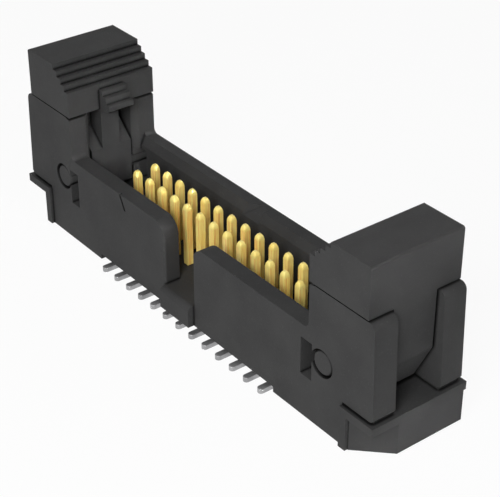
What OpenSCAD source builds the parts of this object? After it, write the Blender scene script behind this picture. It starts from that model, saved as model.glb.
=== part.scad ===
// Box header for a flat-cable plug, soldered onto the face of a board.
// Two rows of square contacts stand in a shroud with a latch lever at each end.
// Lengths are in millimetres. X runs along the rows, the notched wall faces -Y, Z points up.
// The origin is on the board, under the middle of the contact grid.

/* [Contact grid] */
// Contacts in each of the two rows
positions = 13; // [9:2:25]
// Distance between neighbouring contacts
pitch = 1.27; // [1.2:0.01:1.4]
// Distance between the two rows
row_gap = 1.27; // [1.2:0.01:1.4]

/* [Contact] */
// Side of the square post
post_w = 0.41; // [0.36:0.01:0.46]
// Height of the tip above the board
tip_z = 6.07; // [5.6:0.01:6.2]
// Length of the four-sided point
taper_l = 0.32; // [0.2:0.01:0.6]
// Side of the post halfway up the point
tip_mid = 0.35; // [0.28:0.01:0.35]
// Side of the small flat on the tip
tip_flat = 0.2; // [0.08:0.01:0.24]
// Thickness of the solder foot
foot_t = 0.3; // [0.22:0.01:0.34]
// Distance from the middle of the part to the end of a foot
foot_reach = 3.43; // [3.3:0.01:3.8]
// Inside radius of the bend above the foot
bend_r = 0.2; // [0.1:0.01:0.26]
// Gap between a post and its hole in the floor
seat_gap = 0.01; // [0.01:0.01:0.03]

/* [Shroud] */
// Width over the two long walls
body_w = 6.06; // [5.8:0.02:6.4]
// Width of the cavity between the long walls
cavity_w = 4.0; // [3.9:0.02:4.2]
// Top of the long walls above the board
wall_z = 6.05; // [5.8:0.01:6.4]
// Top of the cavity floor above the board
floor_z = 2.1; // [1.9:0.01:2.3]
// Underside of the middle of the body above the board
belly_z = 0.72; // [0.66:0.01:0.9]
// Underside of the two raised ends above the board
stand_z = 0.38; // [0.3:0.01:0.5]
// Run of a raised end beyond the last contact before the tower
stand_in = 0.78; // [0.6:0.01:1.2]
// Width of the lead-in along the top of the back wall
lead_w = 0.28; // [0.15:0.01:0.4]
// Height of that lead-in
lead_h = 0.55; // [0.3:0.01:0.8]

/* [Notch and key] */
// Width of the polarising notch in the front wall
notch_w = 2.75; // [2.2:0.05:3.0]
// Middle of the notch along X
notch_x = -0.15; // [-0.3:0.05:0.3]
// Radius of the two top corners of the notch
notch_r = 1.0; // [0.3:0.05:1.2]
// Run of the sill pad in front of the wall below the notch
sill_out = 0.4; // [0.2:0.01:0.5]
// Radius along the top of the sill pad
sill_r = 0.38; // [0.1:0.01:0.4]
// Right-hand end of the key chute in the top of the back wall
chute_x = 0.8; // [0.6:0.05:1.0]
// Width of the chute where it opens into the cavity
chute_w = 1.58; // [1.3:0.01:1.8]
// Width of the chute at its outer end
chute_end_w = 0.6; // [0.4:0.01:1.0]
// Run of the chute across the wall
chute_run = 0.75; // [0.5:0.01:0.8]
// Depth of the chute where it opens into the cavity
chute_h = 0.75; // [0.6:0.01:0.9]
// Width of the thin slit cut near the left tower
slit_w = 0.18; // [0.08:0.01:0.24]
// Lean of the slit along X over its height
slit_lean = 0.5; // [0.3:0.01:0.8]
// Height of the slit
slit_h = 0.95; // [0.6:0.01:1.2]
// Distance from the left tower to the slit
slit_in = 5.1; // [4.6:0.05:5.4]
// Radius of the outer upright edges of the notch
notch_edge_r = 0.14; // [0.1:0.01:0.5]

/* [Towers] */
// Distance from the last contact to the inner face of a tower
tower_in = 3.54; // [3.4:0.01:3.9]
// Length of a tower at its top
tower_l = 4.8; // [4.6:0.01:5.1]
// Draft of the outer end face from top to bottom
draft = 0.22; // [0.0:0.01:0.3]
// Top of a tower above the board
tower_z = 8.8; // [8.7:0.01:8.83]
// Width of the slot that takes the lever
slot_w = 3.08; // [2.96:0.01:3.2]
// Chamfer where the slot opens into the cavity
slot_ch = 0.36; // [0.2:0.01:0.42]
// Radius of the outer top edge
tower_r = 0.4; // [0.2:0.01:0.6]
// Radius of the outer lower edge
tower_foot_r = 0.3; // [0.2:0.01:0.7]
// Radius of the corner between a wall and a tower
web_r = 0.35; // [0.2:0.01:0.6]

/* [Ledge and base] */
// Top of the ledge round the outer end above the board
ledge_z = 2.95; // [2.9:0.01:3.0]
// Thickness of the ledge
ledge_t = 0.5; // [0.4:0.01:0.6]
// Run of the ledge out of the side faces
ledge_out = 0.2; // [0.12:0.01:0.3]
// Run of the ledge out of the end face
ledge_end = 0.18; // [0.15:0.01:0.35]
// Width of the upright rib where the ledge starts
stub_w = 0.52; // [0.4:0.01:0.8]
// Distance from the tower's inner face to that rib
stub_in = 2.74; // [2.5:0.01:2.9]
// Height of the shadow groove above the ledge
groove_h = 0.13; // [0.08:0.01:0.2]
// Depth of the shadow groove
groove_d = 0.16; // [0.08:0.01:0.25]
// Size in plan of the cut-off front corner of the base
corner_cut = 1.75; // [1.2:0.01:1.9]
// Run of the base past the foot of the tower
base_out = 0.04; // [0.02:0.01:0.12]
// Run of the deeper slot floor under the lever
well_l = 1.84; // [1.7:0.01:2.0]

/* [Pivot] */
// Distance from the tower's inner face to the pivot
pivot_in = 1.09; // [1.05:0.01:1.15]
// Height of the pivot above the board
pivot_z = 4.48; // [4.44:0.01:4.56]
// Radius of the pin on the lever
pin_r = 0.73; // [0.6:0.01:0.78]
// Running clearance round the pin
pin_gap = 0.1; // [0.03:0.01:0.12]
// Depth of the pin's end below the side face
pin_sink = 0.06; // [0.04:0.01:0.4]
// Angle through which a lever swings in over the plug
swing = 15; // [10:1:17]
// Width of the side slot beside the pivot
side_w = 0.88; // [0.6:0.01:0.9]
// Height of the side slot
side_h = 2.28; // [1.6:0.01:2.4]
// Height of the side slot's lower edge above the cavity floor
side_rise = 0.86; // [0.7:0.01:1.0]
// Distance from the tower's inner face to the side slot's outer end
side_in = 0.32; // [0.28:0.01:0.36]

/* [Lever] */
// Underside of the grip block above the board
grip_z = 8.87; // [8.87:0.01:8.95]
// Width of the grip block
grip_w = 6.06; // [5.6:0.02:6.4]
// Distance from the pivot to the outer face
lever_out = 3.25; // [3.1:0.01:3.4]
// Distance from the pivot to the grip block's inner face
grip_in = 1.13; // [1.05:0.01:1.2]
// Height of the lowest grip step above the block's underside
grip_low = 1.61; // [1.4:0.01:1.8]
// Steps on the grip
steps = 4; // [2:1:5]
// Run of one grip step
step_run = 0.378; // [0.3:0.001:0.4]
// Rise of one grip step
step_rise = 0.34; // [0.25:0.001:0.4]
// Gap between the stem and each side of its slot
stem_gap = 0.12; // [0.04:0.01:0.16]
// Distance from the pivot to the set-back face of the stem
stem_set = 0.43; // [0.2:0.01:0.6]
// Distance from the pivot to the inner face of the lower block
stem_in = 0.8; // [0.6:0.01:0.95]
// Gap between the stem's lower end and the floor of its slot
stem_clear = 0.1; // [0.05:0.01:0.2]
// Height of the stem's slanted outer underside
stem_slant_h = 2.35; // [1.8:0.01:2.6]
// Run of the stem's slanted outer underside
stem_slant_w = 1.15; // [0.8:0.01:1.4]
// Height above the pivot where the lower block's inner face ends
block_h = 1.47; // [1.2:0.01:1.6]
// Height above the pivot where the set-back face starts
set_h = 2.62; // [2.3:0.01:2.8]
// Width of the rib down the middle of the stem
rib_w = 1.24; // [0.8:0.01:1.6]
// Width of the latch hook
hook_w = 1.74; // [1.3:0.01:2.0]
// Distance from the pivot to the hook's nose
hook_in = 2.2; // [2.1:0.01:2.4]
// Height of the hook's nose
nose_h = 0.42; // [0.3:0.01:0.5]
// Radius of the two edges of the nose
nose_r = 0.12; // [0.06:0.01:0.14]
// Height of the nose's lower edge above the grip block's underside
nose_up = 0.12; // [0.05:0.01:0.3]

/* [Hidden] */
$fn = 48;
eps = 0.01;
big = 40;

// Contact grid
last_x = (positions - 1) / 2 * pitch;
post_y = row_gap / 2;
seat_w = post_w + 2 * seat_gap;

// Body
half_w = body_w / 2;
half_cav = cavity_w / 2;
half_slot = slot_w / 2;

// Tower and ledge along X
tower_x = last_x + tower_in;
tower_end = tower_x + tower_l;
foot_end = tower_end + draft;
base_end = foot_end + base_out;
ledge_x = foot_end + ledge_end;
stub_x = tower_x + stub_in;
base_top_z = ledge_z - ledge_t;
well_x = tower_x + well_l;

// Pivot and lever
pivot_x = tower_x + pivot_in;
hole_r = pin_r + pin_gap;
side_x = tower_x + side_in - side_w;
side_z = floor_z + side_rise;
half_stem = half_slot - stem_gap;
grip_step_x = pivot_x - grip_in;
grip_top_z = grip_z + grip_low + steps * step_rise;
ramp_h = grip_z - pivot_z - 0.05;

function two_digits(i) = i < 10 ? str("0", i) : str(i);
function front_name(i) = str("contact_front_", two_digits(i));
function back_name(i) = str("contact_back_", two_digits(i));
function contact_x(i) = (i - 1) * pitch - last_x;

// Small helpers

// A flat outline in X and Z, made w wide along Y and centred on it
module slab_y(w) {
    rotate([90, 0, 0])
        linear_extrude(height = w, center = true)
            children();
}

// A flat outline in Y and Z, made w long along X and centred on it
module slab_x(w) {
    rotate([90, 0, 90])
        linear_extrude(height = w, center = true)
            children();
}

// What a rounded corner of radius r takes off the corner at the origin of the first quadrant
module corner_waste(r) {
    difference() {
        translate([-eps, -eps])
            square([r + eps, r + eps]);
        translate([r, r])
            circle(r = r);
    }
}

// A box given by its low and high corner
module span(low, high) {
    translate(low)
        cube(high - low);
}

// Contacts

// Side view of a contact: pointed post, bend and foot, with the foot towards +Y
module contact_side() {
    half = post_w / 2;
    heel = foot_t + bend_r;
    difference() {
        union() {
            polygon([[-half, 0], [half + bend_r, 0], [half + bend_r, heel], [half, heel],
                     [half, tip_z - taper_l], [tip_mid / 2, tip_z - taper_l / 2],
                     [tip_flat / 2, tip_z], [-tip_flat / 2, tip_z],
                     [-tip_mid / 2, tip_z - taper_l / 2], [-half, tip_z - taper_l]]);
            square([foot_reach - post_y, foot_t]);
        }
        translate([half + bend_r, heel])
            circle(r = bend_r);
        translate([-half, 0])
            corner_waste(heel);
    }
}

// Front view of a contact, which gives the point its other two sides
module contact_front_view() {
    half = post_w / 2;
    polygon([[-half, 0], [half, 0], [half, tip_z - taper_l],
             [tip_mid / 2, tip_z - taper_l / 2], [tip_flat / 2, tip_z], [-tip_flat / 2, tip_z],
             [-tip_mid / 2, tip_z - taper_l / 2], [-half, tip_z - taper_l]]);
}

// Plan of a contact with the rounded end of the foot
module contact_plan() {
    half = post_w / 2;
    reach = foot_reach - post_y;
    translate([-half, -half])
        square([post_w, reach]);
    translate([0, reach - half])
        circle(r = half);
}

module contact() {
    intersection() {
        slab_x(post_w + 1)
            contact_side();
        slab_y(big)
            contact_front_view();
        linear_extrude(height = big, center = true)
            contact_plan();
    }
}

module contact_back(i) {
    color("Gold")
        translate([contact_x(i), post_y, 0])
            contact();
}

module contact_front(i) {
    color("Gold")
        translate([contact_x(i), -post_y, 0])
            mirror([0, 1, 0])
                contact();
}

// Housing, right half of what is mirrored

// Side view of a tower: drafted outer end, rounded outer edges
module tower_side() {
    difference() {
        polygon([[tower_x, belly_z], [stub_x, belly_z], [stub_x, base_top_z], [foot_end, base_top_z],
                 [foot_end, ledge_z], [tower_end, tower_z], [tower_x, tower_z]]);
        translate([tower_end + 0.005, tower_z])
            rotate(180)
                corner_waste(tower_r);
        // Ramp on which the grip block comes to rest when the lever is closed
        translate([pivot_x, pivot_z])
            rotate(swing)
                translate([-big, ramp_h])
                    square([2 * big, big]);
    }
}

// Plan of the slot, flared where it opens into the cavity
module slot_plan() {
    mouth = half_slot + slot_ch;
    polygon([[tower_x - eps, -mouth], [tower_x + slot_ch, -half_slot],
             [tower_end + big, -half_slot], [tower_end + big, half_slot],
             [tower_x + slot_ch, half_slot], [tower_x - eps, mouth]]);
}

// Raised base below the ledge, with its front outer corner cut off
module base_plan() {
    polygon([[last_x + stand_in, -half_w], [base_end - corner_cut, -half_w],
             [base_end, -half_w + corner_cut], [base_end, half_w + ledge_out],
             [stub_x, half_w + ledge_out], [stub_x, half_w], [last_x + stand_in, half_w]]);
}

// Quarter-round web between the flat top of each long wall and the tower
module wall_webs() {
    for (web = [[-half_w, -half_cav], [half_cav + lead_w, half_w]])
        translate([tower_x, (web[0] + web[1]) / 2, wall_z])
            mirror([1, 0, 0])
                slab_y(web[1] - web[0])
                    corner_waste(web_r);
}

module end_solids() {
    slab_y(body_w)
        tower_side();
    wall_webs();
    translate([0, 0, stand_z])
        linear_extrude(height = base_top_z - stand_z + eps)
            base_plan();
    span([stub_x, -half_w - ledge_out, base_top_z],
         [ledge_x, half_w + ledge_out, ledge_z]);
    for (side = [-1, 1])
        span([stub_x, side < 0 ? -half_w - ledge_out : half_w - eps, stand_z],
             [stub_x + stub_w, side < 0 ? -half_w + eps : half_w + ledge_out, ledge_z]);
}

// Shadow line between the tower and the ledge, round the front, end and back
module shadow_groove() {
    inner = half_w - groove_d;
    for (side = [-1, 1])
        translate([0, side * (inner + 0.5), 0])
            span([stub_x, -0.5, ledge_z], [ledge_x + 1, 0.5, ledge_z + groove_h]);
    span([foot_end - groove_d, -half_w - 1, ledge_z], [ledge_x + 1, half_w + 1, ledge_z + groove_h]);
}

module end_cuts() {
    // Lever slot, open upwards, with a step down to the cavity floor under the lever
    translate([0, 0, ledge_z])
        linear_extrude(height = tower_z)
            slot_plan();
    span([tower_x - eps, -half_slot, floor_z], [well_x, half_slot, tower_z]);
    // Pivot hole through both cheeks
    translate([pivot_x, 0, pivot_z])
        rotate([90, 0, 0])
            cylinder(r = hole_r, h = big, center = true);
    // Side slots, which open into the pivot holes
    span([side_x, -body_w, side_z], [side_x + side_w, body_w, side_z + side_h]);
    // Rounded lower edge of the end face, above the groove
    translate([foot_end + 0.005, 0, ledge_z + groove_h])
        mirror([1, 0, 0])
            slab_y(body_w + 1)
                corner_waste(tower_foot_r);
    shadow_groove();
}

module housing_end() {
    difference() {
        end_solids();
        end_cuts();
    }
}

// Section of the long walls and floor, looking along X
module shroud_section() {
    difference() {
        translate([-half_w, belly_z])
            square([body_w, wall_z - belly_z]);
        polygon([[-half_cav, floor_z], [half_cav, floor_z], [half_cav, wall_z - lead_h],
                 [half_cav + lead_w, wall_z + eps], [-half_cav, wall_z + eps]]);
    }
}

// Cut through the front wall with two rounded top corners
module notch_cut() {
    top = wall_z + eps;
    half = notch_w / 2;
    translate([notch_x, -half_w + (half_w - half_cav) / 2, 0])
        slab_y(half_w - half_cav + 0.1) {
            translate([-half, floor_z])
                square([notch_w, top - floor_z + 1]);
            for (side = [-1, 1])
                translate([side * half, wall_z])
                    mirror([side < 0 ? 1 : 0, 0])
                        rotate(-90)
                            corner_waste(notch_r);
        }
    for (side = [-1, 1])
        translate([notch_x + side * half, -half_w, floor_z])
            mirror([side < 0 ? 1 : 0, 0, 0])
                linear_extrude(height = top - floor_z)
                    corner_waste(notch_edge_r);
}

// Pad that stands out in front of the wall below the notch
module sill() {
    translate([notch_x, 0, 0])
        slab_x(notch_w)
            difference() {
                translate([-half_w - sill_out, belly_z])
                    square([sill_out + eps, floor_z - belly_z]);
                translate([-half_w - sill_out, floor_z])
                    mirror([0, 1])
                        corner_waste(sill_r);
            }
}

// Sloped chute across the top of the back wall, narrower at its outer end
module key_chute() {
    back = half_cav + chute_run;
    intersection() {
        linear_extrude(height = big)
            polygon([[chute_x - chute_w, half_cav - eps], [chute_x, half_cav - eps],
                     [chute_x, back + eps], [chute_x - chute_end_w, back + eps]]);
        slab_x(big)
            polygon([[half_cav - eps, wall_z - chute_h], [half_cav, wall_z - chute_h],
                     [back, wall_z], [back, wall_z + eps], [half_cav - eps, wall_z + eps]]);
    }
}

// Thin leaning slit in the front wall's outer face, beside the left tower
module slit() {
    slit_x = -tower_x + slit_in;
    translate([0, -half_w, 0])
        slab_y(slit_w * 2)
            polygon([[slit_x, wall_z + eps], [slit_x + slit_w, wall_z + eps],
                     [slit_x + slit_w + slit_lean, wall_z - slit_h],
                     [slit_x + slit_lean, wall_z - slit_h]]);
}

module contact_seats() {
    for (i = [1:positions])
        for (side = [-1, 1])
            span([contact_x(i) - seat_w / 2, side * post_y - seat_w / 2, stand_z],
                 [contact_x(i) + seat_w / 2, side * post_y + seat_w / 2, floor_z + 1]);
}

module housing() {
    color("DimGray")
        difference() {
            union() {
                difference() {
                    slab_x(2 * tower_x + 0.1)
                        shroud_section();
                    for (side = [0, 1])
                        mirror([side, 0, 0])
                            end_cuts();
                }
                housing_end();
                mirror([1, 0, 0])
                    housing_end();
                sill();
            }
            contact_seats();
            notch_cut();
            key_chute();
            slit();
        }
}

// Levers

// Grip block: stepped on its inner top edge, rounded on its outer top edge
module grip_side() {
    difference() {
        for (k = [0:steps])
            translate([grip_step_x + k * step_run, grip_z])
                square([grip_in + lever_out - k * step_run, grip_low + k * step_rise]);
        translate([pivot_x + lever_out, grip_top_z])
            rotate(180)
                corner_waste(0.15);
    }
}

// Stem between the cheeks: set-back neck, lower block, slanted outer underside
module stem_side() {
    low_z = ledge_z + stem_clear;
    inner = pivot_x - stem_in;
    outer = pivot_x + lever_out;
    difference() {
        polygon([[inner, low_z], [outer - stem_slant_w, low_z], [outer, low_z + stem_slant_h],
                 [outer, grip_z + 0.5], [pivot_x + stem_set, grip_z + 0.5],
                 [pivot_x + stem_set, pivot_z + set_h], [inner, pivot_z + block_h]]);
        translate([inner, low_z])
            corner_waste(0.3);
    }
}

// Rib up the middle of the stem to the hook
module stem_rib_side() {
    translate([pivot_x - stem_in, pivot_z])
        square([stem_in + stem_set + eps, grip_z - pivot_z + 0.2]);
}

// Hook: two more steps, blunt nose, underside that lies level when the lever is closed
module hook_side() {
    nose_x = pivot_x - hook_in;
    nose_z = grip_z + nose_up;
    root_x = pivot_x - stem_in;
    root_z = nose_z - (root_x - nose_x) * tan(swing);
    first_z = grip_z + grip_low - step_rise;
    for (k = [1:2])
        translate([grip_step_x - k * step_run, nose_z])
            square([k * step_run + 0.4, first_z - (k - 1) * step_rise - nose_z]);
    difference() {
        polygon([[nose_x, nose_z], [root_x, root_z], [pivot_x + stem_set + eps, root_z],
                 [pivot_x + stem_set + eps, nose_z + nose_h], [nose_x, nose_z + nose_h]]);
        translate([nose_x, nose_z])
            corner_waste(nose_r);
        translate([nose_x, nose_z + nose_h])
            mirror([0, 1])
                corner_waste(nose_r);
    }
}

// One lever with its two pivot pins, moulded in one piece
module lever() {
    slab_y(grip_w)
        grip_side();
    slab_y(2 * half_stem)
        stem_side();
    slab_y(rib_w)
        stem_rib_side();
    slab_y(hook_w)
        hook_side();
    translate([pivot_x, 0, pivot_z])
        rotate([90, 0, 0])
            cylinder(r = pin_r, h = body_w - 2 * pin_sink, center = true);
}

module ejector_right() {
    color("Gray")
        lever();
}

module ejector_left() {
    color("Gray")
        mirror([1, 0, 0])
            lever();
}

housing();
ejector_left();
ejector_right();
for (i = [1:positions])
    contact_front(i);
for (i = [1:positions])
    contact_back(i);
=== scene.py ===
# %% [markdown]
# # A fine-pitch box header with two latch levers
#
# The real object is a connector a little over three centimetres long. A dark
# moulded shroud holds two rows of square gold-plated contacts, and a lever at
# each end swings in over the plug. The shapes come from the imported solids. This
# script gives them soft moulded edges, real finishes, light and a camera.
#
# The imported model is loaded first, so that everything made later shares its place
# and size.

# %% Load the imported part
import math

import bmesh
import bpy
from mathutils import Matrix, Vector


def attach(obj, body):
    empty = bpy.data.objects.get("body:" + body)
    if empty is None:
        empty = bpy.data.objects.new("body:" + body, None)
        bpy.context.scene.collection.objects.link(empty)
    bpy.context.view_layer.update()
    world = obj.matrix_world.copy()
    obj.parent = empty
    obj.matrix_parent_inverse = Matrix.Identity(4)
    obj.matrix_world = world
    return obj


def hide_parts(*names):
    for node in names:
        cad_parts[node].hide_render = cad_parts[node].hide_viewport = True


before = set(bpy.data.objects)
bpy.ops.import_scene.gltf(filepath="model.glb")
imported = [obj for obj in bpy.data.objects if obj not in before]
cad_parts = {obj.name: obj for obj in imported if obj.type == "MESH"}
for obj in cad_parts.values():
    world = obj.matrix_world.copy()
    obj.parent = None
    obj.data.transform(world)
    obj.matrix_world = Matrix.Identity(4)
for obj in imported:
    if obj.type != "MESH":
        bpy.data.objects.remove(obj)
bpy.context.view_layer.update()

MM = 0.001

# %% [markdown]
# ## The camera
#
# The photograph was taken with a long lens from above the notched side. Its place
# was worked out from the contacts, whose spacing is known. The three directions of
# the camera are written as a matrix, which avoids any doubt about tilt.
#
# The lens is given in pixels of the photograph, as a fit of a camera gives it, and
# turned into millimetres through the width of the sensor.

# %% Place the camera
def look_from(azimuth, elevation):
    """The right, up and backward directions of a camera at these angles."""
    a, e = math.radians(azimuth), math.radians(elevation)
    backward = Vector((math.sin(a) * math.cos(e), -math.cos(a) * math.cos(e), math.sin(e)))
    right = Vector((math.cos(a), math.sin(a), 0))
    return right, backward.cross(right), backward


AZIMUTH, ELEVATION = 52.162, 31.96
ASIDE, BELOW, DISTANCE = 1.534, 0.763, 81.438
LENS_PIXELS, PHOTO_PIXELS, SENSOR = 1435.292, 500, 36

right, up, backward = look_from(AZIMUTH, ELEVATION)
centre = Vector((0, 0, 5)) * MM
eye = centre + (right * ASIDE - up * BELOW + backward * DISTANCE) * MM

lens = bpy.data.cameras.new("photo_camera")
lens.sensor_width = SENSOR
lens.lens = LENS_PIXELS * SENSOR / PHOTO_PIXELS
lens.clip_start = 0.005
camera = bpy.data.objects.new("photo_camera", lens)
turn = Matrix((right, up, backward)).transposed().to_4x4()
camera.matrix_world = Matrix.Translation(eye) @ turn
bpy.context.collection.objects.link(camera)
bpy.context.scene.camera = camera
print("camera at, mm:", [round(c / MM, 1) for c in eye], "lens:", round(lens.lens, 1))

# %% [markdown]
# ## Building a material from nodes
#
# Every finish here is procedural. A few small helpers keep the node code short:
# one adds a node and sets its inputs, one joins two sockets. Patterns are read
# from Object coordinates, in metres, so a scale of 1 / 0.1 mm gives grains of
# about a tenth of a millimetre.

# %% Node helpers
def add_node(tree, kind, label="", **values):
    """Adds a node, gives it a label, and sets the inputs that are named."""
    node = tree.nodes.new(kind)
    node.label = label
    for name, value in values.items():
        node.inputs[name.replace("_", " ")].default_value = value
    return node


def new_material(name):
    """An empty material with its output and one Principled shader."""
    material = bpy.data.materials.new(name)
    material.use_nodes = True
    tree = material.node_tree
    tree.nodes.clear()
    output = tree.nodes.new("ShaderNodeOutputMaterial")
    shader = tree.nodes.new("ShaderNodeBsdfPrincipled")
    tree.links.new(shader.outputs["BSDF"], output.inputs["Surface"])
    return material, tree, shader


def mix_colours(tree, mask, first, second, label=""):
    """Blends two colours by a mask. A colour is four numbers or a socket."""
    mix = tree.nodes.new("ShaderNodeMix")
    mix.data_type = "RGBA"
    mix.label = label
    tree.links.new(mask, mix.inputs[0])
    for value, socket in ((first, mix.inputs[6]), (second, mix.inputs[7])):
        if isinstance(value, bpy.types.NodeSocket):
            tree.links.new(value, socket)
        else:
            socket.default_value = value
    return mix.outputs[2]


def spread(tree, value, low, high, to_low, to_high, label=""):
    """Maps a value from one range to another, held at the ends."""
    ramp = tree.nodes.new("ShaderNodeMapRange")
    ramp.label = label
    tree.links.new(value, ramp.inputs["Value"])
    numbers = {"From Min": low, "From Max": high, "To Min": to_low, "To Max": to_high}
    for name, number in numbers.items():
        ramp.inputs[name].default_value = number
    return ramp.outputs["Result"]


def input_names(group):
    """The names of a node group's inputs, to print."""
    return [item.name for item in group.interface.items_tree if item.in_out == "INPUT"]


print("node helpers ready")

# %% [markdown]
# ## A shared effect: the skin of a surface
#
# Moulded plastic and plated metal both have a faint cloudy tone and a fine grain,
# at different scales. One node group makes both masks and the height for a bump.
# The group gives out only masks, and each material decides what to do with them.

# %% The skin group
def make_skin_group():
    group = bpy.data.node_groups.new("surface_skin", "ShaderNodeTree")
    defaults = {"Cloud Size": 2.0, "Grain Size": 0.08, "Fleck Size": 0.2, "Fleck Share": 0.1}
    for name, default in defaults.items():
        socket = group.interface.new_socket(name, in_out="INPUT", socket_type="NodeSocketFloat")
        socket.default_value = default
    for name in ("Cloud", "Grain", "Flecks", "Height"):
        group.interface.new_socket(name, in_out="OUTPUT", socket_type="NodeSocketFloat")
    given = group.nodes.new("NodeGroupInput")
    result = group.nodes.new("NodeGroupOutput")
    place = group.nodes.new("ShaderNodeTexCoord")

    def per_metre(size_socket, label):
        """Turns a size in millimetres into a texture scale per metre."""
        divide = add_node(group, "ShaderNodeMath", label)
        divide.operation = "DIVIDE"
        divide.inputs[0].default_value = 1 / MM
        group.links.new(size_socket, divide.inputs[1])
        return divide.outputs[0]

    cloud = add_node(group, "ShaderNodeTexNoise", "slow clouds", Detail=3.0, Roughness=0.55)
    grain = add_node(group, "ShaderNodeTexNoise", "fine grain", Detail=4.0, Roughness=0.6)
    fleck = add_node(group, "ShaderNodeTexVoronoi", "flecks", Randomness=1.0)
    for texture, size in ((cloud, "Cloud Size"), (grain, "Grain Size"), (fleck, "Fleck Size")):
        group.links.new(place.outputs["Object"], texture.inputs["Vector"])
        group.links.new(per_metre(given.outputs[size], size), texture.inputs["Scale"])

    cloud_mask = spread(group, cloud.outputs["Fac"], 0.35, 0.65, 0, 1, "cloud")
    grain_mask = spread(group, grain.outputs["Fac"], 0.35, 0.65, 0, 1, "grain")
    group.links.new(cloud_mask, result.inputs["Cloud"])
    group.links.new(grain_mask, result.inputs["Grain"])

    # A fleck shows where its cell's random red value is under the wanted share
    parts = group.nodes.new("ShaderNodeSeparateColor")
    group.links.new(fleck.outputs["Color"], parts.inputs[0])
    chosen = group.nodes.new("ShaderNodeMath")
    chosen.operation = "LESS_THAN"
    group.links.new(parts.outputs[0], chosen.inputs[0])
    group.links.new(given.outputs["Fleck Share"], chosen.inputs[1])
    near = spread(group, fleck.outputs["Distance"], 0.15, 0.4, 1, 0, "round fleck")
    both = group.nodes.new("ShaderNodeMath")
    both.operation = "MULTIPLY"
    group.links.new(chosen.outputs[0], both.inputs[0])
    group.links.new(near, both.inputs[1])
    group.links.new(both.outputs[0], result.inputs["Flecks"])

    height = group.nodes.new("ShaderNodeMath")
    height.operation = "MULTIPLY_ADD"
    group.links.new(both.outputs[0], height.inputs[0])
    height.inputs[1].default_value = 0.25
    group.links.new(grain.outputs["Fac"], height.inputs[2])
    group.links.new(height.outputs[0], result.inputs["Height"])
    return group


skin_group = make_skin_group()
print("skin group inputs:", input_names(skin_group))


# %% Place the skin in a material
def add_skin(tree, cloud_mm, grain_mm, fleck_mm, fleck_share):
    skin = tree.nodes.new("ShaderNodeGroup")
    skin.node_tree = skin_group
    for name, value in (("Cloud Size", cloud_mm), ("Grain Size", grain_mm),
                        ("Fleck Size", fleck_mm), ("Fleck Share", fleck_share)):
        skin.inputs[name].default_value = value
    return skin


def add_bump(tree, shader, height, depth_mm):
    bump = add_node(tree, "ShaderNodeBump", "grain relief", Strength=1.0, Distance=depth_mm * MM)
    tree.links.new(height, bump.inputs["Height"])
    tree.links.new(bump.outputs["Normal"], shader.inputs["Normal"])


# %% [markdown]
# ## The moulded plastic
#
# The shroud and levers are a stiff high-temperature plastic filled with short
# glass fibre. It is a warm dark grey, not black, with a satin skin. The filler
# shows as faint pale flecks, and the melt's flow as slow clouds. Both stay within
# a few per cent of the base colour, because the photograph shows an even tone.
#
# ## A second shared effect: painted shade in seams
#
# A thin dark line of painted shade lies in every seam and inner corner, on the
# shroud and levers alike, where little light reaches. An Ambient Occlusion node in
# each material finds those places by their shape, so the painted shade follows the
# part by itself. The group turns that openness into a colour and puts out nothing else.

# %% The painted seam shade group
def make_painted_shade_group():
    """Paints shade: mixes a colour towards black where a mask of openness is low."""
    group = bpy.data.node_groups.new("painted_seam_shade", "ShaderNodeTree")
    group.interface.new_socket("Colour", in_out="INPUT", socket_type="NodeSocketColor")
    for name, default in (("Openness", 1.0), ("Depth", 0.9)):
        socket = group.interface.new_socket(name, in_out="INPUT", socket_type="NodeSocketFloat")
        socket.default_value = default
    group.interface.new_socket("Colour", in_out="OUTPUT", socket_type="NodeSocketColor")
    given = group.nodes.new("NodeGroupInput")
    result = group.nodes.new("NodeGroupOutput")
    shut = spread(group, given.outputs["Openness"], 0.55, 0.90, 1, 0, "shut in")
    share = add_node(group, "ShaderNodeMath", "share of black")
    share.operation = "MULTIPLY"
    group.links.new(shut, share.inputs[0])
    group.links.new(given.outputs["Depth"], share.inputs[1])
    black = (0, 0, 0, 1)
    shaded = mix_colours(group, share.outputs[0], given.outputs["Colour"], black, "painted seam shade")
    group.links.new(shaded, result.inputs["Colour"])
    return group


painted_shade_group = make_painted_shade_group()
print("seam group inputs:", input_names(painted_shade_group))


# %% Place the painted seam shade in a material
def paint_seam_shade(tree, colour, reach_mm, depth):
    # Painted shade: openness found by Ambient Occlusion darkens the colour in seams and corners
    near = add_node(tree, "ShaderNodeAmbientOcclusion", "close surfaces",
                    Distance=reach_mm * MM)
    near.samples = 8
    near.only_local = False
    shade = tree.nodes.new("ShaderNodeGroup")
    shade.node_tree = painted_shade_group
    shade.inputs["Depth"].default_value = depth
    tree.links.new(colour, shade.inputs["Colour"])
    tree.links.new(near.outputs["AO"], shade.inputs["Openness"])
    return shade.outputs["Colour"]


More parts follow.
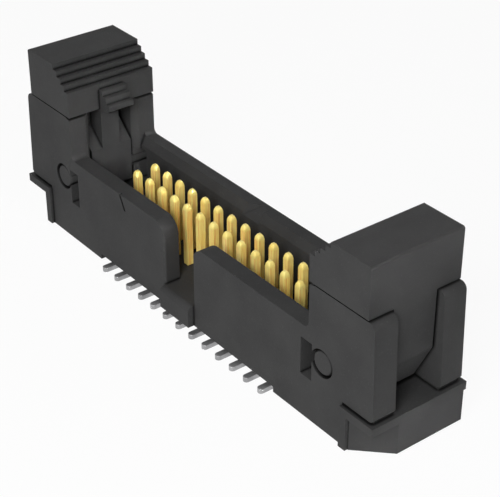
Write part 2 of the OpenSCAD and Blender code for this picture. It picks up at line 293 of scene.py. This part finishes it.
# %% Make the plastic
def make_plastic(name, tone, roughness):
    material, tree, shader = new_material(name)
    skin = add_skin(tree, cloud_mm=2.6, grain_mm=0.07, fleck_mm=0.16, fleck_share=0.16)
    dark = (tone * 0.90, tone * 0.90, tone * 0.905, 1)
    light = (tone * 1.08, tone * 1.08, tone * 1.08, 1)
    pale = (tone * 1.55, tone * 1.55, tone * 1.52, 1)
    clouds = mix_colours(tree, skin.outputs["Cloud"], dark, light, "flow clouds")
    weak = spread(tree, skin.outputs["Flecks"], 0, 1, 0, 0.35, "weak flecks")
    flecked = mix_colours(tree, weak, clouds, pale, "fibre flecks")
    # Painted shade: the base colour turns towards black in seams and inner corners
    shaded = paint_seam_shade(tree, flecked, reach_mm=0.24, depth=0.92)
    tree.links.new(shaded, shader.inputs["Base Color"])
    satin = spread(tree, skin.outputs["Grain"], 0, 1, roughness - 0.05, roughness + 0.06, "satin")
    tree.links.new(satin, shader.inputs["Roughness"])
    shader.inputs["IOR"].default_value = 1.5
    shader.inputs["Specular IOR Level"].default_value = 0.06
    add_bump(tree, shader, skin.outputs["Height"], depth_mm=0.006)
    print(name, "tone", tone, "roughness", roughness)
    return material


shroud_plastic = make_plastic("shroud_plastic", 0.041, 0.56)
lever_plastic = make_plastic("lever_plastic", 0.041, 0.54)

# %% [markdown]
# ## The plated contacts
#
# One stamped contact has two finishes: bright gold where the plug mates, dull tin
# on the foot that is soldered. The border is hidden inside the floor of the
# shroud, so a mask on height above the board separates the two cleanly. One
# shader serves both, and only its colour, roughness and metal share change.
#
# The contacts are cut from drawn wire, which leaves fine lines along it. A noise
# that is stretched along the post makes them, and they stop short of the tip.

# %% Draw the lines on the wire
def draw_streaks(tree, place, height, width_mm, end_mm):
    """Fine dark lines along the post, as drawing the wire leaves. They end at the tip."""
    stretch = tree.nodes.new("ShaderNodeVectorMath")
    stretch.operation = "MULTIPLY"
    stretch.inputs[1].default_value = (1, 1, 0.03)
    tree.links.new(place.outputs["Object"], stretch.inputs[0])
    noise = add_node(tree, "ShaderNodeTexNoise", "drawn lines",
                     Scale=1 / (width_mm * MM), Detail=1.0)
    tree.links.new(stretch.outputs[0], noise.inputs["Vector"])
    lines = spread(tree, noise.outputs["Fac"], 0.46, 0.66, 0, 1, "lines")
    fade = 0.1
    below_tip = spread(tree, height, (end_mm - fade) * MM, end_mm * MM, 1, 0, "below the tip")
    mask = add_node(tree, "ShaderNodeMath", "lines below the tip")
    mask.operation = "MULTIPLY"
    tree.links.new(lines, mask.inputs[0])
    tree.links.new(below_tip, mask.inputs[1])
    return mask.outputs[0]


# %% Make the plating
GOLD = ((1.0, 0.76, 0.20, 1), (1.0, 0.84, 0.27, 1))
WIRE_LINE = (0.88, 0.47, 0.13, 1)
TIN = ((0.28, 0.28, 0.285, 1), (0.41, 0.41, 0.415, 1))


def make_plating(name, border_mm):
    material, tree, shader = new_material(name)
    skin = add_skin(tree, cloud_mm=0.9, grain_mm=0.05, fleck_mm=0.2, fleck_share=0.05)
    place = tree.nodes.new("ShaderNodeTexCoord")
    axes = tree.nodes.new("ShaderNodeSeparateXYZ")
    tree.links.new(place.outputs["Object"], axes.inputs[0])
    start, end = (border_mm - 0.05) * MM, (border_mm + 0.05) * MM
    is_gold = spread(tree, axes.outputs["Z"], start, end, 0, 1, "gold above")
    gold = mix_colours(tree, skin.outputs["Cloud"], *GOLD, "gold tone")
    streaks = draw_streaks(tree, place, axes.outputs["Z"], width_mm=0.055, end_mm=5.78)
    gold = mix_colours(tree, streaks, gold, WIRE_LINE, "drawn wire")
    tin = mix_colours(tree, skin.outputs["Cloud"], *TIN, "tin tone")
    plating = mix_colours(tree, is_gold, tin, gold, "plating")
    roughness = spread(tree, is_gold, 0, 1, 0.46, 0.34, "plating gloss")
    metal_share = spread(tree, is_gold, 0, 1, 0.8, 0.12, "matt flash")
    tree.links.new(plating, shader.inputs["Base Color"])
    tree.links.new(roughness, shader.inputs["Roughness"])
    tree.links.new(metal_share, shader.inputs["Metallic"])
    add_bump(tree, shader, skin.outputs["Height"], depth_mm=0.002)
    print(name, "changes finish at", border_mm, "mm")
    return material


contact_plating = make_plating("contact_plating", 1.6)

# %% [markdown]
# ## Moulded edges
#
# Nothing that comes out of a mould has a razor edge, and the thin light along an
# edge is most of what makes plastic look real. Each moulded piece is a copy of
# its solid: doubles are merged, flat regions joined into single faces, and a fine
# bevel rounds every edge. The shading normals are then weighted towards the large
# faces, so that a flat wall stays flat and only bevels and round corners blend.
# Shallow creases between two wide faces, too slight for a bevel, are marked sharp
# first. The narrow strips of a round corner are left out, so rounds stay smooth.
# The rim of each pin gets a wider chamfer, because a pin is eased at its end so
# that it finds its hole, and the photograph shows a broad dark ring round it.

# %% Tell the edges apart
PIVOT_X, PIVOT_Z, PIN_RADIUS, PIN_END = 12.25 * MM, 4.48 * MM, 0.73 * MM, 2.8 * MM
WIDE_FACE = 0.3 * MM
BEVEL_FROM = 20  # degrees; an edge that bends more gets a bevel


def is_slight_crease(edge):
    """True for a shallow bend between two faces that are both wide."""
    widths = [face.calc_area() / edge.calc_length() for face in edge.link_faces]
    bend = math.degrees(edge.calc_face_angle(0))
    return 9 < bend < BEVEL_FROM and min(widths) > WIDE_FACE


def is_pin_rim(edge):
    """True for the round edge at the end of a lever's pin."""
    for corner in edge.verts:
        reach = math.hypot(abs(corner.co.x) - PIVOT_X, corner.co.z - PIVOT_Z)
        if abs(corner.co.y) < PIN_END or abs(reach - PIN_RADIUS) > 0.02 * MM:
            return False
    return True


print("pivots at x, z, mm:", round(PIVOT_X / MM, 2), round(PIVOT_Z / MM, 2))


# %% Round the edges of a copy
def soft_copy(node, name, bevel_mm, merge_mm=0.012):
    """A merged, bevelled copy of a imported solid, in the same place."""
    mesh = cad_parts[node].data.copy()
    mesh.name = name
    copy = bpy.data.objects.new(name, mesh)
    bpy.context.collection.objects.link(copy)
    bm = bmesh.new()
    bm.from_mesh(mesh)
    bmesh.ops.remove_doubles(bm, verts=bm.verts, dist=merge_mm * MM)
    bmesh.ops.dissolve_limit(bm, angle_limit=math.radians(0.6), verts=bm.verts, edges=bm.edges)
    for face in bm.faces:
        face.smooth = True
    weight = bm.edges.layers.float.new("bevel_weight_edge")
    for edge in bm.edges:
        edge.smooth = not is_slight_crease(edge)
        edge[weight] = 1.0 if is_pin_rim(edge) else 0.0
    print(name, "rim edges:", sum(edge[weight] > 0 for edge in bm.edges))
    bm.to_mesh(mesh)
    bm.free()
    rim = copy.modifiers.new("eased pin", "BEVEL")
    rim.width = 0.10 * MM
    rim.segments = 1
    rim.limit_method = "WEIGHT"
    bevel = copy.modifiers.new("moulded edge", "BEVEL")
    bevel.width = bevel_mm * MM
    bevel.segments = 2
    bevel.limit_method = "ANGLE"
    bevel.angle_limit = math.radians(BEVEL_FROM)
    bevel.use_clamp_overlap = True
    bevel.miter_outer = "MITER_ARC"
    bevel.face_strength_mode = "FSTR_ALL"
    weights = copy.modifiers.new("flat faces", "WEIGHTED_NORMAL")
    weights.mode = "FACE_AREA"
    weights.keep_sharp = True
    weights.use_face_influence = True
    depsgraph = bpy.context.evaluated_depsgraph_get()
    baked = bpy.data.meshes.new_from_object(copy.evaluated_get(depsgraph))
    copy.modifiers.clear()
    copy.data = baked
    baked.name = name
    print(name, "faces:", len(baked.polygons))
    return copy


def finish_piece(piece, material, body, slot, *nodes):
    """Gives a piece its material, hangs it under its body's empty and hides the imported parts.
    """
    piece.data.materials.clear()
    piece.data.materials.append(material)
    for face in piece.data.polygons:
        face.material_index = 0
    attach(piece, body)
    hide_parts(*nodes)


# %% The shroud
shroud = soft_copy("housing", "shroud", 0.035)
finish_piece(shroud, shroud_plastic, "housing", "housing_plastic", "housing")

# %% The two levers
for side in ("left", "right"):
    lever = soft_copy("ejector_" + side, "latch_lever_" + side, 0.04)
    finish_piece(lever, lever_plastic, "ejector_" + side, "lever_plastic", "ejector_" + side)

# %% [markdown]
# ## The rows of contacts
#
# The contacts of a row are all alike and evenly spaced, which is what Geometry
# Nodes are for. The middle contact is copied and its stamped edges eased. A node
# tree then sets it out along a line. The tree ends by making the copies real, so
# the row becomes one plain mesh.

# %% A tree that sets out a row
def make_row_tree():
    tree = bpy.data.node_groups.new("contact_row", "GeometryNodeTree")
    tree.interface.new_socket("Contact", in_out="INPUT", socket_type="NodeSocketGeometry")
    tree.interface.new_socket("Count", in_out="INPUT", socket_type="NodeSocketInt")
    tree.interface.new_socket("Pitch", in_out="INPUT", socket_type="NodeSocketFloat")
    tree.interface.new_socket("Finish", in_out="INPUT", socket_type="NodeSocketMaterial")
    tree.interface.new_socket("Row", in_out="OUTPUT", socket_type="NodeSocketGeometry")
    given = tree.nodes.new("NodeGroupInput")
    result = tree.nodes.new("NodeGroupOutput")
    line = tree.nodes.new("GeometryNodeMeshLine")
    step = tree.nodes.new("ShaderNodeCombineXYZ")
    tree.links.new(given.outputs["Count"], line.inputs["Count"])
    tree.links.new(given.outputs["Pitch"], step.inputs["X"])
    tree.links.new(step.outputs[0], line.inputs["Offset"])

    # The line starts half a row to the left, so the middle contact stays in place
    gaps = add_node(tree, "ShaderNodeMath", "gaps in the row")
    gaps.operation = "SUBTRACT"
    tree.links.new(given.outputs["Count"], gaps.inputs[0])
    gaps.inputs[1].default_value = 1
    half = add_node(tree, "ShaderNodeMath", "minus half the row")
    half.operation = "MULTIPLY"
    half.inputs[1].default_value = -0.5
    tree.links.new(gaps.outputs[0], half.inputs[0])
    first = add_node(tree, "ShaderNodeMath", "first contact")
    first.operation = "MULTIPLY"
    tree.links.new(half.outputs[0], first.inputs[0])
    tree.links.new(given.outputs["Pitch"], first.inputs[1])
    start = tree.nodes.new("ShaderNodeCombineXYZ")
    tree.links.new(first.outputs[0], start.inputs["X"])
    tree.links.new(start.outputs[0], line.inputs["Start Location"])

    copies = tree.nodes.new("GeometryNodeInstanceOnPoints")
    real = tree.nodes.new("GeometryNodeRealizeInstances")
    paint = tree.nodes.new("GeometryNodeSetMaterial")
    tree.links.new(line.outputs[0], copies.inputs["Points"])
    tree.links.new(given.outputs["Contact"], copies.inputs["Instance"])
    tree.links.new(copies.outputs[0], real.inputs[0])
    tree.links.new(real.outputs[0], paint.inputs["Geometry"])
    tree.links.new(given.outputs["Finish"], paint.inputs["Material"])
    tree.links.new(paint.outputs[0], result.inputs[0])
    return tree


row_tree = make_row_tree()
print("row tree nodes:", len(row_tree.nodes))


# %% Set out both rows
def make_row(side, count, pitch_mm):
    names = [f"contact_{side}_{i:02d}" for i in range(1, count + 1)]
    middle = names[count // 2]
    row = soft_copy(middle, "contact_row_" + side, 0.014, 0.0005)
    row.data.materials.clear()
    setter = row.modifiers.new("row", "NODES")
    setter.node_group = row_tree
    sockets = row_tree.interface.items_tree
    keys = {item.name: item.identifier for item in sockets if item.in_out == "INPUT"}
    setter[keys["Count"]] = count
    setter[keys["Pitch"]] = pitch_mm * MM
    setter[keys["Finish"]] = contact_plating
    depsgraph = bpy.context.evaluated_depsgraph_get()
    real = bpy.data.meshes.new_from_object(row.evaluated_get(depsgraph))
    row.modifiers.clear()
    row.data = real
    finish_piece(row, contact_plating, "housing", "contact_metal", *names)
    print(row.name, "holds", count, "contacts,", len(real.polygons), "faces")


for side in ("front", "back"):
    make_row(side, count=13, pitch_mm=1.27)

# %% [markdown]
# ## Floor and light
#
# The photograph is a product shot: a white surface, light from all around, and
# almost no shadow. The floor is pale and takes the part's faint shadow. The eye
# and glossy reflections see it as white through the Light Path node, so that the
# lamps need not be turned up until pale things burn out.
#
# The world is strong near the horizon and weak overhead, as in a tent lit from
# the sides, so upright faces are lit evenly and tops stay a little darker. A soft
# key lamp near the camera lights the near corner most. Two very weak lamps with a
# narrow spread lift single faces: the inside of the far tower, and the cut corner
# of the near base.

# %% Which rays see white
def seen_directly(tree):
    """Is 1 for camera, glossy and transmission rays, and 0 for light that fills."""
    rays = tree.nodes.new("ShaderNodeLightPath")
    seen = rays.outputs["Is Camera Ray"]
    for name in ("Is Glossy Ray", "Is Transmission Ray"):
        either = tree.nodes.new("ShaderNodeMath")
        either.operation = "MAXIMUM"
        tree.links.new(seen, either.inputs[0])
        tree.links.new(rays.outputs[name], either.inputs[1])
        seen = either.outputs[0]
    return seen


# %% The floor
def make_floor():
    mesh = bpy.data.meshes.new("floor")
    size = 1.5
    corners = [(-size, -size, 0), (size, -size, 0), (size, size, 0), (-size, size, 0)]
    mesh.from_pydata(corners, [], [(0, 1, 2, 3)])
    floor = bpy.data.objects.new("floor", mesh)
    bpy.context.collection.objects.link(floor)
    material, tree, shader = new_material("floor_white")
    shader.inputs["Base Color"].default_value = (0.86, 0.86, 0.86, 1)
    shader.inputs["Roughness"].default_value = 0.9
    shader.inputs["Specular IOR Level"].default_value = 0.1
    glow = add_node(tree, "ShaderNodeEmission", "white seen directly", Strength=1.0)
    glow.inputs["Color"].default_value = (1, 1, 1, 1)
    share = spread(tree, seen_directly(tree), 0, 1, 0, 0.94, "share of white")
    mix = tree.nodes.new("ShaderNodeMixShader")
    tree.links.new(share, mix.inputs[0])
    tree.links.new(shader.outputs[0], mix.inputs[1])
    tree.links.new(glow.outputs[0], mix.inputs[2])
    tree.links.new(mix.outputs[0], tree.nodes["Material Output"].inputs["Surface"])
    mesh.materials.append(material)
    return floor


floor = make_floor()
print("floor:", [round(d, 2) for d in floor.dimensions[:2]], "m")


# %% The world and the lamps
def make_world(horizon, zenith):
    """Light from all round, strong near the horizon and weak overhead."""
    world = bpy.data.worlds.new("white_tent")
    bpy.context.scene.world = world
    world.use_nodes = True
    tree = world.node_tree
    tree.nodes.clear()
    output = tree.nodes.new("ShaderNodeOutputWorld")
    place = tree.nodes.new("ShaderNodeTexCoord")
    split = tree.nodes.new("ShaderNodeSeparateXYZ")
    tree.links.new(place.outputs["Generated"], split.inputs[0])
    fade = spread(tree, split.outputs["Z"], 0.0, 0.6, horizon, zenith, "weaker overhead")
    fill = add_node(tree, "ShaderNodeBackground", "light on the part")
    shown = add_node(tree, "ShaderNodeBackground", "white seen directly", Strength=1.0)
    fill.inputs["Color"].default_value = (1, 1, 1, 1)
    shown.inputs["Color"].default_value = (1, 1, 1, 1)
    tree.links.new(fade, fill.inputs["Strength"])
    mix = tree.nodes.new("ShaderNodeMixShader")
    tree.links.new(seen_directly(tree), mix.inputs[0])
    tree.links.new(fill.outputs[0], mix.inputs[1])
    tree.links.new(shown.outputs[0], mix.inputs[2])
    tree.links.new(mix.outputs[0], output.inputs["Surface"])


def soft_lamp(name, place, size, watts, aim=(0, 0, 5), spread_deg=180):
    """A square lamp at a place in metres that points at one in millimetres."""
    light = bpy.data.lights.new(name, "AREA")
    light.shape = "SQUARE"
    light.size = size
    light.energy = watts
    light.spread = math.radians(spread_deg)
    lamp = bpy.data.objects.new(name, light)
    lamp.location = place
    way = Vector(aim) * MM - Vector(place)
    lamp.rotation_euler = way.to_track_quat("-Z", "Y").to_euler()
    bpy.context.collection.objects.link(lamp)
    print(name, "watts:", watts)


make_world(horizon=0.63, zenith=0.03)
soft_lamp("key_lamp", (0.060, -0.075, 0.070), 0.05, 0.133)
soft_lamp("inner_lamp", (0.055, -0.002, 0.030), 0.01, 0.00022,
          aim=(-11.5, 0, 5.5), spread_deg=11)
soft_lamp("base_lamp", (0.075, -0.012, 0.003), 0.006, 0.00009,
          aim=(16.3, 0, 1.0), spread_deg=8)

# %% [markdown]
# ## The last settings
#
# The colours are shown as they are, with no film curve.

# %% Show the colours as they are
bpy.context.scene.view_settings.view_transform = "Standard"
